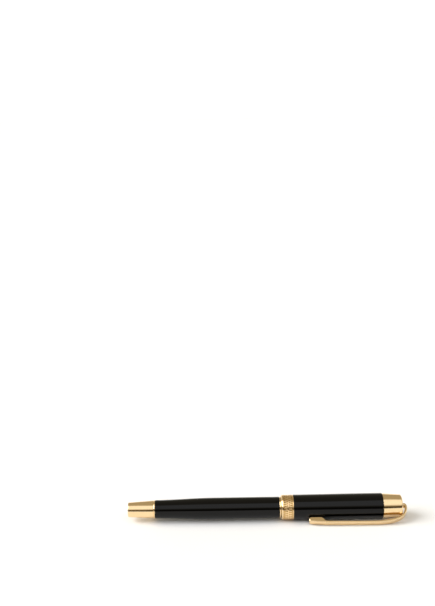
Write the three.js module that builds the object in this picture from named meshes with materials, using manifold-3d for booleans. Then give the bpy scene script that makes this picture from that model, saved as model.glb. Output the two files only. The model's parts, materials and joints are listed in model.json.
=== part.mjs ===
// Rollerball pen with a snap-on cap, made of turned tubes and rings on one axis and a bent strap clip.
// Millimetres, +Z up. The pen lies on its side: its axis runs along X, from the tail at -X to the crown
// of the cap at +X. It rests on the widest part of the cap and on the edge of the clip, which points
// towards -Y and down. The origin is under the middle of the pen, on the surface that it lies on.
import * as THREE from 'three';
import { mergeVertices } from 'three/addons/utils/BufferGeometryUtils.js';
import Module from 'manifold-3d';

// ---- Lengths along the axis ----
const FERRULE_LENGTH = 13.4;
const BARREL_LENGTH = 61.5;
const TRIM_RING_WIDTH = 0.6;
const BAND_WIDTH = 6.1;
const CAP_TUBE_LENGTH = 44.0;      // what shows between the band and the crown
const CROWN_LENGTH = 9.6;
const NOSE_LENGTH = 7.6;
const TIP_REACH = 5.7;             // how far the writing point stands out of the nose
const REFILL_NECK_LENGTH = 16.4;   // the thin front of the refill, behind its metal point
const REFILL_TIP_LENGTH = 7.2;
const REAR_SPACE = 7.9;            // from the tail's end face to the back of the refill: 110.5 mm refill
const BUSH_LENGTH = 11.2;
const CAP_BUSH_LENGTH = 4.1;
const NIPPLE_SEAT_LENGTH = 5.2;    // how far the nipple is pressed into the section
const BARREL_TAPER_LENGTH = 28;
const BARREL_MOUTH_TAPER = 12;
const TAIL_SPIGOT_LENGTH = 5.5;    // how far the ferrule is pressed into the barrel
const NIPPLE_OVERHANG = 0.4;       // how far the nipple runs past the bush
const CAP_TUBE_TAPER = 8;          // what is straight at the cap tube's far end
const GRIP_STRAIGHT = 6;           // from the clutch ring to where the grip narrows
const SECTION_LIP_LENGTH = 2.5;
const NOSE_SPIGOT_LENGTH = 6;
const NOSE_COLLAR = 0.8;
const BAND_LIP_LENGTH = 1.2;       // the band's inward lip at the mouth of the cap
const BAND_ROUND = 0.7;            // how far the band's rounded mouth runs

// ---- Radii and walls, from the refill outwards ----
const REFILL_RADIUS = 3.05;
const REFILL_WALL = 0.35;
const REFILL_NECK_RADIUS = 2.05;
const REFILL_TIP_RADIUS = 1.15;
const BALL_RADIUS = 0.35;
const NIPPLE_WALL = 0.55;
const BUSH_WALL = 0.65;
const BARREL_WALL = 0.62;
const BARREL_BELLY = 0.05;         // how much the barrel swells behind its mouth
const TAIL_SPIGOT_WALL = 0.5;
const BARREL_TAIL_WALL = 0.69;
const FERRULE_STEP = 0.09;         // the ferrule sits this far below the lacquer
const FERRULE_TAPER = 0.8;
const FERRULE_WALL = 0.75;
const FERRULE_END_WALL = 1.2;
const SECTION_WALL = 0.95;
const SECTION_WAIST = 0.65;        // how much the grip narrows towards the nose
const NOSE_TIP_RADIUS = 1.95;
const INNER_CAP_WALL = 0.42;
const CAP_WALL = 0.65;
const CAP_SWELL = 0.15;            // how much the cap widens from the band to the crown
const CAP_NECK_WALL = 0.3;         // the cap tube's turned-down neck inside the band
const CROWN_STEP = 0.2;
const CROWN_TAPER = 0.6;
const CROWN_CHAMFER = 0.85;
const EDGE = 0.15;                 // broken edges of the turned parts
const SECTION_LIP = 0.25;
const NOSE_EDGE = 0.3;
const TRIM_RING_EDGE = 0.12;

// ---- Thread between the nipple and the barrel's bush: a round thread ----
const THREAD_PITCH = 1.0;
const THREAD_TURNS = 3.5;
const THREAD_HEIGHT = 0.25;
const THREAD_GAP = 0.15;           // round the thread's ridge, in its groove
const THREAD_LEAD = 1.0;           // from the bush's start to the ridge's first turn
const THREAD_RUNOUT = 1.5;

// ---- Clip ----
const CLIP_WIDTH = 3.0;
const CLIP_THICKNESS = 1.2;
const CLIP_EDGE = 0.3;             // rounding of the strap's long edges
const CLIP_STANDOFF = 2.58;        // from the widest part of the cap to the arm's inner face
const CLIP_ARCH_GAP = 1.3;         // between the crown's end face and the arch
const CLIP_FOOT_SETBACK = 46.4;    // from the crown's end face back to the clip's free end
const CLIP_FOOT_DROP = 0.95;       // how much the arm leans in towards the cap at its free end
const CLIP_PAD_LENGTH = 4.1;
const CLIP_PAD_RAMP = 2.5;
const CLIP_RAMP_SETBACK = 1.6;     // from the ramp's top to where the arm runs straight
const CLIP_HUMP = 13.2;            // from the crown's end face back to where the arch meets the arm
const CLIP_TOE_ROUND = 1.2;
const CLIP_TANG_DEPTH = 2.3;
const CLIP_BEND_RADIUS = 0.55;

// ---- Small parts ----
const STUD_RADIUS = 1.9;
const STUD_HEAD_RADIUS = 3.2;
const STUD_HEAD_HEIGHT = 1.1;
const STUD_GRIP = 4.8;             // how far the stud reaches into the crown
const STUD_EDGE = 0.4;
const STUD_SLOT_WIDTH = 0.8;
const STUD_SLOT_DEPTH = 0.5;
const INNER_CAP_END = 0.8;
const POINT_SPACE = 1.2;           // free length between the writing point and the inner cap
const CLUTCH_RING_WIDTH = 1.0;
const CLUTCH_RING_SETBACK = 8.0;   // from the mouth of the cap
const CLUTCH_RING_DEPTH = 0.35;
const CLUTCH_RING_GAP = 28;        // degrees of the ring that are cut away
const SNAP_GROOVE_DEPTH = 0.2;     // the inner cap's groove, which snaps over the ring
const SEAL_RADIUS = 0.25;
const SEAL_SETBACK = 2.6;          // from the mouth of the barrel
const SPRING_WIRE = 0.2;
const SPRING_TURNS = 4;
const SPRING_SEAT_LENGTH = 2.0;
const PLUG_RIM_LENGTH = 1.0;
const PLUG_LENGTH = 4.5;
const WICK_GAP = 0.5;              // between the wick and the plug and holder
const HOLDER_SPIGOT_LENGTH = 7.5;
const HOLDER_RIM_LENGTH = 1.0;
const TIP_SHANK_LENGTH = 4.0;
const TIP_BARREL_LENGTH = 2.4;     // the straight part of the metal point
const TIP_STEP = 0.3;
const BALL_GAP = 0.02;
const BALL_RIM = 0.15;             // how far the socket's rim closes past the ball's middle
const CUSHION_TRAVEL = 0.8;        // how far the refill gives way under the hand

// ---- Clearances ----
const SLIP = 0.15;                 // sliding fits
const CAP_SLIP = 0.2;              // cap over the section
const SEAT = 0.05;                 // pressed and bonded fits
const FACE_GAP = 0.1;              // between faces that meet
const TURN_GAP = 0.1;              // between parts that turn on each other
const SLOT_GAP = 0.3;              // round the clip's tang and over its pad

const SMOOTH = 32;                 // facets round the outer parts
const PLAIN = 20;                  // facets round the inner parts
const WELD = 1e-4;                 // points closer than this are one

// ---- Stations along the axis, from the tail's end face ----
const ferruleEnd = FERRULE_LENGTH;
const barrelEnd = ferruleEnd + BARREL_LENGTH;
const ringStart = barrelEnd + FACE_GAP;
const ringEnd = ringStart + TRIM_RING_WIDTH;
const sectionStart = ringEnd + FACE_GAP;
const capMouth = ringEnd + FACE_GAP;
const bushEnd = barrelEnd - FACE_GAP;
const bushStart = bushEnd - BUSH_LENGTH;
const threadStart = bushStart + THREAD_LEAD;
const nippleEnd = sectionStart + NIPPLE_SEAT_LENGTH;
const clutchRingStart = capMouth + CLUTCH_RING_SETBACK;
const bandEnd = capMouth + BAND_WIDTH;
const capTubeEnd = bandEnd + CAP_TUBE_LENGTH;
const capBushStart = capTubeEnd - CAP_BUSH_LENGTH;
const studHeadStart = capBushStart - FACE_GAP - STUD_HEAD_HEIGHT;
const innerCapEnd = studHeadStart - FACE_GAP;
const pointEnd = innerCapEnd - INNER_CAP_END - POINT_SPACE;
const noseEnd = pointEnd - TIP_REACH;
const sectionEnd = noseEnd - NOSE_LENGTH - FACE_GAP;
const noseSpigotStart = sectionEnd - NOSE_SPIGOT_LENGTH;
const refillEnd = pointEnd - REFILL_TIP_LENGTH;
const refillShoulder = refillEnd - REFILL_NECK_LENGTH;
const ballCentre = pointEnd - BALL_RADIUS;
const crownStart = capTubeEnd + FACE_GAP;
const crownEnd = crownStart + CROWN_LENGTH;
const archEnd = crownEnd + CLIP_ARCH_GAP + CLIP_THICKNESS;
const clipFoot = crownEnd - CLIP_FOOT_SETBACK;

// ---- Radii worked out from the fits ----
const refillBore = REFILL_RADIUS + SLIP;
const nippleRadius = refillBore + NIPPLE_WALL;
const bushBore = nippleRadius + TURN_GAP;
const threadPeak = nippleRadius + THREAD_HEIGHT;
const bushRelief = threadPeak + SLIP;
const bushRadius = bushBore + BUSH_WALL;
const barrelBore = bushRadius + SEAT;
const barrelMouth = barrelBore + BARREL_WALL;
const barrelBelly = barrelMouth + BARREL_BELLY;
const tailBore = REFILL_RADIUS + CAP_SLIP;
const tailSpigot = tailBore + TAIL_SPIGOT_WALL;
const barrelTailBore = tailSpigot + SEAT;
const barrelTail = barrelTailBore + BARREL_TAIL_WALL;
const ferruleBase = barrelTail - FERRULE_STEP;
const ferruleTip = ferruleBase - FERRULE_TAPER;
const springPocket = ferruleTip - FERRULE_WALL;
const sectionBore = nippleRadius + SEAT;
const sectionRadius = sectionBore + SECTION_WALL;
const sectionFront = sectionRadius - SECTION_WAIST;
const innerCapBore = sectionRadius + CAP_SLIP;
const innerCapRadius = innerCapBore + INNER_CAP_WALL;
const capBore = innerCapRadius + SEAT;
const capMouthRadius = capBore + CAP_WALL;
const capRadius = capMouthRadius + CAP_SWELL;
const capNeck = capBore + CAP_NECK_WALL;
const crownBase = capRadius - CROWN_STEP;
const crownTop = crownBase - CROWN_TAPER;
const crownFace = crownTop - CROWN_CHAMFER;
const clipOuter = capRadius + CLIP_STANDOFF + CLIP_THICKNESS;

const wasm = await Module();
wasm.setup();

// A bare geometry, with shared vertices merged and no triangle of zero area.
function weld(geometry) {
  const bare = geometry.clone();
  bare.deleteAttribute('normal');
  bare.deleteAttribute('uv');
  const merged = mergeVertices(bare, WELD);
  const index = merged.index.array;
  const kept = [];
  for (let i = 0; i < index.length; i += 3) {
    const [a, b, c] = [index[i], index[i + 1], index[i + 2]];
    if (a !== b && b !== c && c !== a) kept.push(a, b, c);
  }
  merged.setIndex(kept);
  return merged;
}

function solid(geometry) {
  const bare = weld(geometry);
  const vertProperties = new Float32Array(bare.attributes.position.array);
  const triVerts = new Uint32Array(bare.index.array);
  return new wasm.Manifold(new wasm.Mesh({ numProp: 3, vertProperties, triVerts }));
}

function geometryOf(manifold) {
  const mesh = manifold.getMesh();
  const geometry = new THREE.BufferGeometry();
  geometry.setAttribute('position', new THREE.BufferAttribute(mesh.vertProperties, mesh.numProp));
  geometry.setIndex(new THREE.BufferAttribute(mesh.triVerts, 1));
  return geometry;
}

// Turns a closed outline of [station, radius] points about the X axis.
function turned(outline, facets = PLAIN) {
  const area = outline.reduce((sum, [s, r], i) => {
    const [nextS, nextR] = outline[(i + 1) % outline.length];
    return sum + (s * nextR - nextS * r);
  }, 0);
  const ordered = area < 0 ? outline : [...outline].reverse();
  const points = [...ordered, ordered[0]].map(([s, r]) => new THREE.Vector2(r, s));
  return weld(new THREE.LatheGeometry(points, facets).rotateZ(-Math.PI / 2));
}

// The outline of a plain tube or, with no bore, a rod.
function tube(start, end, radius, bore = 0) {
  return [[start, bore], [start, radius], [end, radius], [end, bore]];
}

// Points on a smooth rise from one radius to another, between two stations.
function blend(start, end, from, to, steps) {
  return Array.from({ length: steps + 1 }, (_, i) => {
    const t = i / steps;
    return [start + (end - start) * t, from + (to - from) * t * t * (3 - 2 * t)];
  });
}

// Points on an arc in the outline, with angles in degrees from +X towards larger radii.
function arc(s, r, radius, startDeg, endDeg, steps) {
  return Array.from({ length: steps + 1 }, (_, i) => {
    const angle = THREE.MathUtils.degToRad(startDeg + (endDeg - startDeg) * i / steps);
    return [s + radius * Math.cos(angle), r + radius * Math.sin(angle)];
  });
}

class Helix extends THREE.Curve {
  constructor(start, radius, pitch, turns) {
    super();
    Object.assign(this, { start, radius, pitch, turns });
  }

  getPoint(t, target = new THREE.Vector3()) {
    const angle = 2 * Math.PI * this.turns * t;
    const along = this.start + this.pitch * this.turns * t;
    return target.set(along, this.radius * Math.cos(angle), this.radius * Math.sin(angle));
  }
}

function coil(start, radius, pitch, turns, wire, sides, stepsPerTurn) {
  const section = new THREE.Shape();
  section.absarc(0, 0, wire, 0, 2 * Math.PI, false);
  const path = new Helix(start, radius, pitch, turns);
  const steps = Math.round(turns * stepsPerTurn);
  return new THREE.ExtrudeGeometry(section, { steps, extrudePath: path, curveSegments: sides });
}

// ---- Barrel ----

function tailFerrule() {
  const pocketEnd = REAR_SPACE - CUSHION_TRAVEL - SLOT_GAP;
  const spigotEnd = ferruleEnd + TAIL_SPIGOT_LENGTH;
  return turned([
    [0, 0], [0, ferruleTip - EDGE], [EDGE, ferruleTip], [ferruleEnd, ferruleBase],
    [ferruleEnd, tailSpigot], [spigotEnd, tailSpigot], [spigotEnd, tailBore],
    [pocketEnd, tailBore], [pocketEnd, springPocket], [FERRULE_END_WALL, springPocket],
    [FERRULE_END_WALL, 0],
  ], SMOOTH);
}

function springSeat() {
  const start = FERRULE_END_WALL + FACE_GAP;
  const shelf = start + SPRING_SEAT_LENGTH / 2;
  const end = start + SPRING_SEAT_LENGTH;
  const rim = springPocket - SLIP;
  const pip = rim - 4 * SPRING_WIRE - SLIP;
  return turned([[start, 0], [start, rim], [shelf, rim], [shelf, pip], [end, pip - SLIP], [end, 0]]);
}

function refillSpring() {
  const shelf = FERRULE_END_WALL + FACE_GAP + SPRING_SEAT_LENGTH / 2;
  const start = shelf + FACE_GAP + SPRING_WIRE;
  const end = REAR_SPACE - FACE_GAP - SPRING_WIRE;
  const radius = springPocket - SLIP - SPRING_WIRE;
  return coil(start, radius, (end - start) / SPRING_TURNS, SPRING_TURNS, SPRING_WIRE, 3, 12);
}

function barrelTube() {
  const start = ferruleEnd + FACE_GAP;
  const wide = start + BARREL_TAPER_LENGTH;
  return turned([
    ...blend(start, wide, barrelTail, barrelBelly, 7),
    ...blend(barrelEnd - BARREL_MOUTH_TAPER, barrelEnd - EDGE, barrelBelly, barrelMouth, 2),
    [barrelEnd, barrelMouth - EDGE], [barrelEnd, barrelBore],
    ...blend(start, wide, barrelTailBore, barrelBore, 4).reverse(),
  ], SMOOTH);
}

function barrelBush() {
  const threadEnd = bushStart + THREAD_TURNS * THREAD_PITCH + THREAD_RUNOUT;
  const body = solid(turned([
    [bushStart, bushBore], [bushStart, bushRadius], [bushEnd, bushRadius], [bushEnd, bushRelief],
    [threadEnd, bushRelief], [threadEnd, bushBore],
  ]));
  const leadIn = 1;
  const leadOut = 2;
  const turns = leadIn + THREAD_TURNS + leadOut;
  const first = threadStart - leadIn * THREAD_PITCH;
  const groove = coil(first, nippleRadius, THREAD_PITCH, turns, THREAD_HEIGHT + THREAD_GAP, 4, 16);
  return geometryOf(body.subtract(solid(groove)));
}

// ---- Section, which is what the hand holds ----

function sectionNipple() {
  const start = bushStart - NIPPLE_OVERHANG;
  const seal = barrelEnd - SEAL_SETBACK;
  const grooveRadius = nippleRadius - SEAL_RADIUS - SEAT;
  const half = SEAL_RADIUS + SEAT;
  const body = solid(turned([
    [start, refillBore], [start, nippleRadius], [seal - half, nippleRadius],
    [seal - half, grooveRadius], [seal + half, grooveRadius], [seal + half, nippleRadius],
    [nippleEnd, nippleRadius], [nippleEnd, refillBore],
  ]));
  const thread = coil(threadStart, nippleRadius, THREAD_PITCH, THREAD_TURNS, THREAD_HEIGHT, 4, 16);
  return geometryOf(body.add(solid(thread)));
}

function sectionSeal() {
  return turned(arc(barrelEnd - SEAL_SETBACK, nippleRadius, SEAL_RADIUS, 0, 315, 7));
}

function trimRing() {
  const bore = nippleRadius + TURN_GAP;
  const side = barrelMouth - TRIM_RING_EDGE;
  return turned([
    [ringStart, bore], [ringStart, side], [ringStart + TRIM_RING_EDGE, barrelBelly],
    [ringEnd - TRIM_RING_EDGE, barrelBelly], [ringEnd, side], [ringEnd, bore],
  ], SMOOTH);
}

function gripSection() {
  const groove = sectionRadius - CLUTCH_RING_DEPTH - SEAT;
  const grooveEnd = clutchRingStart + CLUTCH_RING_WIDTH + 2 * FACE_GAP;
  const waist = clutchRingStart + GRIP_STRAIGHT;
  const lipStart = sectionEnd - SECTION_LIP_LENGTH;
  const lipPeak = sectionEnd - SECTION_LIP_LENGTH * 0.4;
  const seat = nippleEnd + FACE_GAP;
  const step = refillShoulder + FACE_GAP;
  const spigot = noseSpigotStart - FACE_GAP;
  const neckBore = REFILL_NECK_RADIUS + SLIP;
  return turned([
    [sectionStart, sectionBore], [sectionStart, sectionRadius],
    [clutchRingStart, sectionRadius], [clutchRingStart, groove],
    [grooveEnd, groove], [grooveEnd, sectionRadius],
    ...blend(waist, lipStart, sectionRadius, sectionFront, 6),
    [lipPeak, sectionFront + SECTION_LIP], [sectionEnd, sectionFront],
    [sectionEnd, refillBore], [spigot, refillBore], [spigot, neckBore],
    [step, neckBore], [step, refillBore], [seat, refillBore], [seat, sectionBore],
  ], SMOOTH);
}

function noseCone() {
  const start = sectionEnd + FACE_GAP;
  const bore = REFILL_NECK_RADIUS + SLIP;
  const hole = REFILL_TIP_RADIUS + SLIP;
  const shelf = refillEnd + FACE_GAP + SLIP;
  const spigot = refillBore - SEAT;
  const collarEnd = start + NOSE_COLLAR;
  const collar = sectionFront - SEAT;
  return turned([
    [noseSpigotStart, bore], [noseSpigotStart, spigot], [start, spigot],
    [start, collar], [collarEnd, collar],
    ...blend(collarEnd + SLIP, noseEnd - NOSE_EDGE, collar - NOSE_EDGE, NOSE_TIP_RADIUS, 4),
    [noseEnd, NOSE_TIP_RADIUS - NOSE_EDGE], [noseEnd, hole], [shelf, hole], [shelf, bore],
  ], SMOOTH);
}

// A split spring ring in the section's groove, which the cap snaps over.
function clutchRing() {
  const start = clutchRingStart + FACE_GAP;
  const inner = sectionRadius - CLUTCH_RING_DEPTH + SEAT;
  const outer = sectionRadius + CAP_SLIP / 2;
  const gapEdge = THREE.MathUtils.degToRad(CLUTCH_RING_GAP / 2);
  const ring = new THREE.Shape();
  ring.absarc(0, 0, outer, gapEdge, 2 * Math.PI - gapEdge, false);
  ring.absarc(0, 0, inner, 2 * Math.PI - gapEdge, gapEdge, true);
  const options = { depth: CLUTCH_RING_WIDTH, bevelEnabled: false, curveSegments: 14 };
  return new THREE.ExtrudeGeometry(ring, options).rotateY(Math.PI / 2).translate(start, 0, 0);
}

// ---- Refill ----

function refillPlug() {
  const bore = REFILL_RADIUS - REFILL_WALL - SEAT;
  const rim = REAR_SPACE + PLUG_RIM_LENGTH;
  const end = REAR_SPACE + PLUG_LENGTH;
  return turned([
    [REAR_SPACE, 0], [REAR_SPACE, REFILL_RADIUS - EDGE], [REAR_SPACE + EDGE, REFILL_RADIUS],
    [rim, REFILL_RADIUS], [rim, bore], [end, bore], [end, 0],
  ]);
}

function refillTube() {
  const start = REAR_SPACE + PLUG_RIM_LENGTH + FACE_GAP;
  const end = refillShoulder - HOLDER_RIM_LENGTH;
  return turned(tube(start, end, REFILL_RADIUS, REFILL_RADIUS - REFILL_WALL));
}

function refillWick() {
  const start = REAR_SPACE + PLUG_LENGTH + WICK_GAP;
  const end = refillShoulder - HOLDER_SPIGOT_LENGTH - WICK_GAP;
  return turned(tube(start, end, REFILL_RADIUS - REFILL_WALL - SLIP));
}

function refillHolder() {
  const start = refillShoulder - HOLDER_SPIGOT_LENGTH;
  const spigot = REFILL_RADIUS - REFILL_WALL - SEAT;
  const flange = refillShoulder - HOLDER_RIM_LENGTH + FACE_GAP;
  const tipBore = REFILL_TIP_RADIUS - TIP_STEP + SEAT;
  const tipBoreStart = refillEnd - TIP_SHANK_LENGTH - SLIP;
  const chamfer = 2 * EDGE;
  return turned([
    [start, 0], [start, spigot], [flange, spigot], [flange, REFILL_RADIUS],
    [refillShoulder, REFILL_RADIUS], [refillShoulder, REFILL_NECK_RADIUS],
    [refillEnd - chamfer, REFILL_NECK_RADIUS], [refillEnd, REFILL_NECK_RADIUS - chamfer],
    [refillEnd, tipBore], [tipBoreStart, tipBore], [tipBoreStart, 0],
  ]);
}

function refillTip() {
  const start = refillEnd + FACE_GAP;
  const shank = REFILL_TIP_RADIUS - TIP_STEP;
  const shankStart = refillEnd - TIP_SHANK_LENGTH;
  const straightEnd = start + TIP_BARREL_LENGTH;
  const coneStart = straightEnd + TIP_STEP;
  const socket = BALL_RADIUS + BALL_GAP;
  const rim = ballCentre + BALL_RIM;
  const rimBore = Math.sqrt(socket ** 2 - BALL_RIM ** 2);
  return turned([
    [shankStart, 0], [shankStart, shank], [start, shank], [start, REFILL_TIP_RADIUS],
    [straightEnd, REFILL_TIP_RADIUS], [coneStart, REFILL_TIP_RADIUS - EDGE],
    [rim - BALL_RADIUS, socket + BALL_RIM], [rim, rimBore + SEAT],
    ...arc(ballCentre, 0, socket, 66, 135, 3), [ballCentre - socket, 0],
  ]);
}

function writingBall() {
  return weld(new THREE.SphereGeometry(BALL_RADIUS, 16, 10).translate(ballCentre, 0, 0));
}

// ---- Cap ----

function centreBand() {
  const bore = capNeck + SEAT;
  const lipEnd = capMouth + BAND_LIP_LENGTH;
  return turned([
    [capMouth, innerCapBore], [capMouth, barrelMouth + SEAT], [capMouth + BAND_ROUND, capMouthRadius],
    [bandEnd, capMouthRadius], [bandEnd, bore], [lipEnd, bore], [lipEnd, innerCapBore],
  ], SMOOTH);
}

function capTube() {
  const mouth = capMouth + BAND_LIP_LENGTH + FACE_GAP;
  const shoulder = bandEnd + FACE_GAP;
  return turned([
    [mouth, capBore], [mouth, capNeck], [shoulder, capNeck],
    ...blend(shoulder, capTubeEnd - CAP_TUBE_TAPER, capMouthRadius, capRadius, 4),
    [capTubeEnd - EDGE, capRadius], [capTubeEnd, capRadius - EDGE], [capTubeEnd, capBore],
  ], SMOOTH);
}

function innerCap() {
  const mouth = capMouth + BAND_LIP_LENGTH + FACE_GAP;
  const groove = innerCapBore + SNAP_GROOVE_DEPTH;
  const grooveStart = clutchRingStart + FACE_GAP;
  const grooveEnd = clutchRingStart + CLUTCH_RING_WIDTH + FACE_GAP;
  const slope = 2 * SNAP_GROOVE_DEPTH;
  const hollowEnd = pointEnd + POINT_SPACE;
  return turned([
    [mouth, innerCapBore], [mouth, innerCapRadius], [innerCapEnd, innerCapRadius],
    [innerCapEnd, 0], [hollowEnd, 0], [hollowEnd, innerCapBore],
    [grooveEnd + slope, innerCapBore], [grooveEnd, groove],
    [grooveStart, groove], [grooveStart - slope, innerCapBore],
  ]);
}

function crownStud() {
  const start = studHeadStart;
  const seat = start + STUD_HEAD_HEIGHT;
  const end = crownStart + STUD_GRIP;
  const body = solid(turned([
    [start, 0], [start, STUD_HEAD_RADIUS], [seat, STUD_HEAD_RADIUS], [seat, STUD_RADIUS],
    [end - STUD_EDGE, STUD_RADIUS], [end, STUD_RADIUS - STUD_EDGE], [end, 0],
  ]));
  const slotLength = 2 * STUD_HEAD_RADIUS + 1;
  const slot = new THREE.BoxGeometry(2 * STUD_SLOT_DEPTH, slotLength, STUD_SLOT_WIDTH);
  return geometryOf(body.subtract(solid(slot.translate(start, 0, 0))));
}

function capBush() {
  return turned(tube(capBushStart, capTubeEnd, capBore - SEAT, STUD_RADIUS + SEAT));
}

function crown() {
  const bore = STUD_RADIUS + SEAT;
  const boreEnd = crownStart + STUD_GRIP + FACE_GAP;
  const body = solid(turned([
    [crownStart, bore], [crownStart, crownBase],
    ...arc(crownEnd - CROWN_CHAMFER, crownFace, CROWN_CHAMFER, 90, 0, 4),
    [crownEnd, 0], [boreEnd, 0], [boreEnd, bore],
  ], SMOOTH));
  const depth = CLIP_TANG_DEPTH + SLOT_GAP;
  const slot = new THREE.BoxGeometry(2 * depth, CLIP_THICKNESS + 2 * SLOT_GAP, CLIP_WIDTH + 2 * SLOT_GAP);
  return geometryOf(body.subtract(solid(slot.translate(crownEnd, 0, 0))));
}

// Points of a curve moved sideways, to its right for a positive distance.
function offset(curve, distance, steps) {
  return Array.from({ length: steps + 1 }, (_, i) => {
    const along = curve.getTangent(i / steps);
    return curve.getPoint(i / steps).add(new THREE.Vector2(along.y, -along.x).multiplyScalar(distance));
  });
}

// The clip seen from the side: X along the pen, Y the distance from the pen's axis.
function clipOutline() {
  const at = (x, y) => new THREE.Vector2(x, y);
  const half = CLIP_THICKNESS / 2;
  const bend = CLIP_BEND_RADIUS + half;
  const bendStart = archEnd - CLIP_THICKNESS - CLIP_BEND_RADIUS;
  const armStart = crownEnd - CLIP_HUMP - CLIP_ARCH_GAP;
  const armEnd = clipFoot + CLIP_PAD_LENGTH + CLIP_PAD_RAMP + CLIP_RAMP_SETBACK;
  const armEndRadius = clipOuter - CLIP_FOOT_DROP / 3;
  const outerFoot = clipOuter - CLIP_FOOT_DROP;
  const pad = capMouthRadius + CAP_SWELL / 2 + SLOT_GAP + SEAT;
  const padEnd = armEnd - CLIP_PAD_RAMP;
  const third = (armStart - armEnd) / 3;
  const archShoulder = at(archEnd, bend + 0.75 * (clipOuter - bend));
  const arch = new THREE.CubicBezierCurve(at(archEnd, bend), archShoulder,
    at((archEnd + armStart) / 2 + 2 * CLIP_THICKNESS, clipOuter), at(armStart, clipOuter));
  const arm = new THREE.CubicBezierCurve(at(armStart, clipOuter), at(armStart - third, clipOuter),
    at(armEnd + third, armEndRadius + SLIP), at(armEnd, armEndRadius));
  const outerBendRadius = CLIP_THICKNESS + CLIP_BEND_RADIUS;
  const outerBend = new THREE.EllipseCurve(bendStart, bend, outerBendRadius, outerBendRadius,
    -Math.PI / 2, 0);
  const innerBend = new THREE.EllipseCurve(bendStart, bend, CLIP_BEND_RADIUS, CLIP_BEND_RADIUS,
    0, -Math.PI / 2, true);
  const toe = new THREE.QuadraticBezierCurve(at(clipFoot + CLIP_TOE_ROUND, outerFoot),
    at(clipFoot, outerFoot), at(clipFoot, outerFoot - CLIP_TOE_ROUND));
  const heel = new THREE.QuadraticBezierCurve(at(clipFoot, pad + CLIP_TOE_ROUND),
    at(clipFoot, pad), at(clipFoot + CLIP_TOE_ROUND, pad));
  const ramp = new THREE.QuadraticBezierCurve(at(padEnd, pad), at(padEnd + CLIP_PAD_RAMP / 2, pad),
    at(armEnd, armEndRadius - CLIP_THICKNESS));
  return new THREE.Shape([
    at(crownEnd - CLIP_TANG_DEPTH, -half), ...outerBend.getPoints(6), ...arch.getPoints(12).slice(1),
    ...arm.getPoints(8).slice(1), ...toe.getPoints(4), ...heel.getPoints(4), ...ramp.getPoints(4),
    ...offset(arm, -CLIP_THICKNESS, 8).reverse().slice(1),
    ...offset(arch, -CLIP_THICKNESS, 12).reverse().slice(1),
    ...innerBend.getPoints(3).slice(1), at(crownEnd - CLIP_TANG_DEPTH, half),
  ]);
}

function clip() {
  const depth = CLIP_WIDTH - 2 * CLIP_EDGE;
  return new THREE.ExtrudeGeometry(clipOutline(), {
    depth, curveSegments: 8, bevelEnabled: true, bevelSegments: 2,
    bevelSize: CLIP_EDGE, bevelThickness: CLIP_EDGE, bevelOffset: -CLIP_EDGE,
  }).translate(0, 0, -depth / 2);
}

// The clip leans down until its lower edge is level with the lowest line of the cap.
function clipLean() {
  const reach = clipOuter - CLIP_EDGE;
  const side = CLIP_WIDTH / 2 - CLIP_EDGE;
  return Math.asin((capRadius - CLIP_EDGE) / Math.hypot(reach, side)) - Math.atan2(side, reach);
}

const finishes = {
  gold: { color: 0xd9b36c, roughness: 0.18, metalness: 1 },
  lacquer: { color: 0x0d0c0c, roughness: 0.12, metalness: 0 },
  brass: { color: 0xc9a552, roughness: 0.35, metalness: 1 },
  steel: { color: 0xb9bcc0, roughness: 0.3, metalness: 1 },
  resin: { color: 0x141414, roughness: 0.25, metalness: 0 },
  liner: { color: 0x2a2a2c, roughness: 0.5, metalness: 0 },
  rubber: { color: 0x1c1c1c, roughness: 0.8, metalness: 0 },
  refill: { color: 0x23304f, roughness: 0.4, metalness: 0 },
  fibre: { color: 0xe8e6dd, roughness: 0.9, metalness: 0 },
  carbide: { color: 0x8b8d92, roughness: 0.15, metalness: 1 },
};

function piece(name, geometry, finish) {
  const mesh = new THREE.Mesh(geometry, new THREE.MeshStandardMaterial(finishes[finish]));
  mesh.name = name;
  return mesh;
}

function assemble() {
  const straight = new THREE.Group();
  straight.add(
    piece('tail_ferrule', tailFerrule(), 'gold'),
    piece('spring_seat', springSeat(), 'liner'),
    piece('refill_spring', refillSpring(), 'steel'),
    piece('barrel_tube', barrelTube(), 'lacquer'),
    piece('barrel_bush', barrelBush(), 'brass'),
    piece('trim_ring', trimRing(), 'gold'),
    piece('section_nipple', sectionNipple(), 'brass'),
    piece('section_seal', sectionSeal(), 'rubber'),
    piece('grip_section', gripSection(), 'resin'),
    piece('nose_cone', noseCone(), 'gold'),
    piece('clutch_ring', clutchRing(), 'steel'),
    piece('refill_plug', refillPlug(), 'refill'),
    piece('refill_tube', refillTube(), 'refill'),
    piece('refill_wick', refillWick(), 'fibre'),
    piece('refill_holder', refillHolder(), 'refill'),
    piece('refill_tip', refillTip(), 'steel'),
    piece('writing_ball', writingBall(), 'carbide'),
    piece('centre_band', centreBand(), 'gold'),
    piece('cap_tube', capTube(), 'lacquer'),
    piece('inner_cap', innerCap(), 'liner'),
    piece('cap_bush', capBush(), 'brass'),
    piece('crown_stud', crownStud(), 'steel'),
  );
  const leaning = new THREE.Group();
  leaning.add(piece('crown', crown(), 'gold'), piece('clip', clip(), 'gold'));
  leaning.rotation.x = Math.PI + clipLean();
  const pen = new THREE.Group();
  pen.add(straight, leaning);
  pen.updateMatrixWorld(true);
  const box = new THREE.Box3().setFromObject(pen, true);
  const middle = box.getCenter(new THREE.Vector3());
  pen.position.set(-middle.x, -middle.y, -box.min.z);
  return pen;
}

export default assemble();
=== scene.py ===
import json
import math

import bpy
from bpy.props import FloatProperty, FloatVectorProperty, IntProperty, PointerProperty
from mathutils import Matrix, Vector


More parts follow.
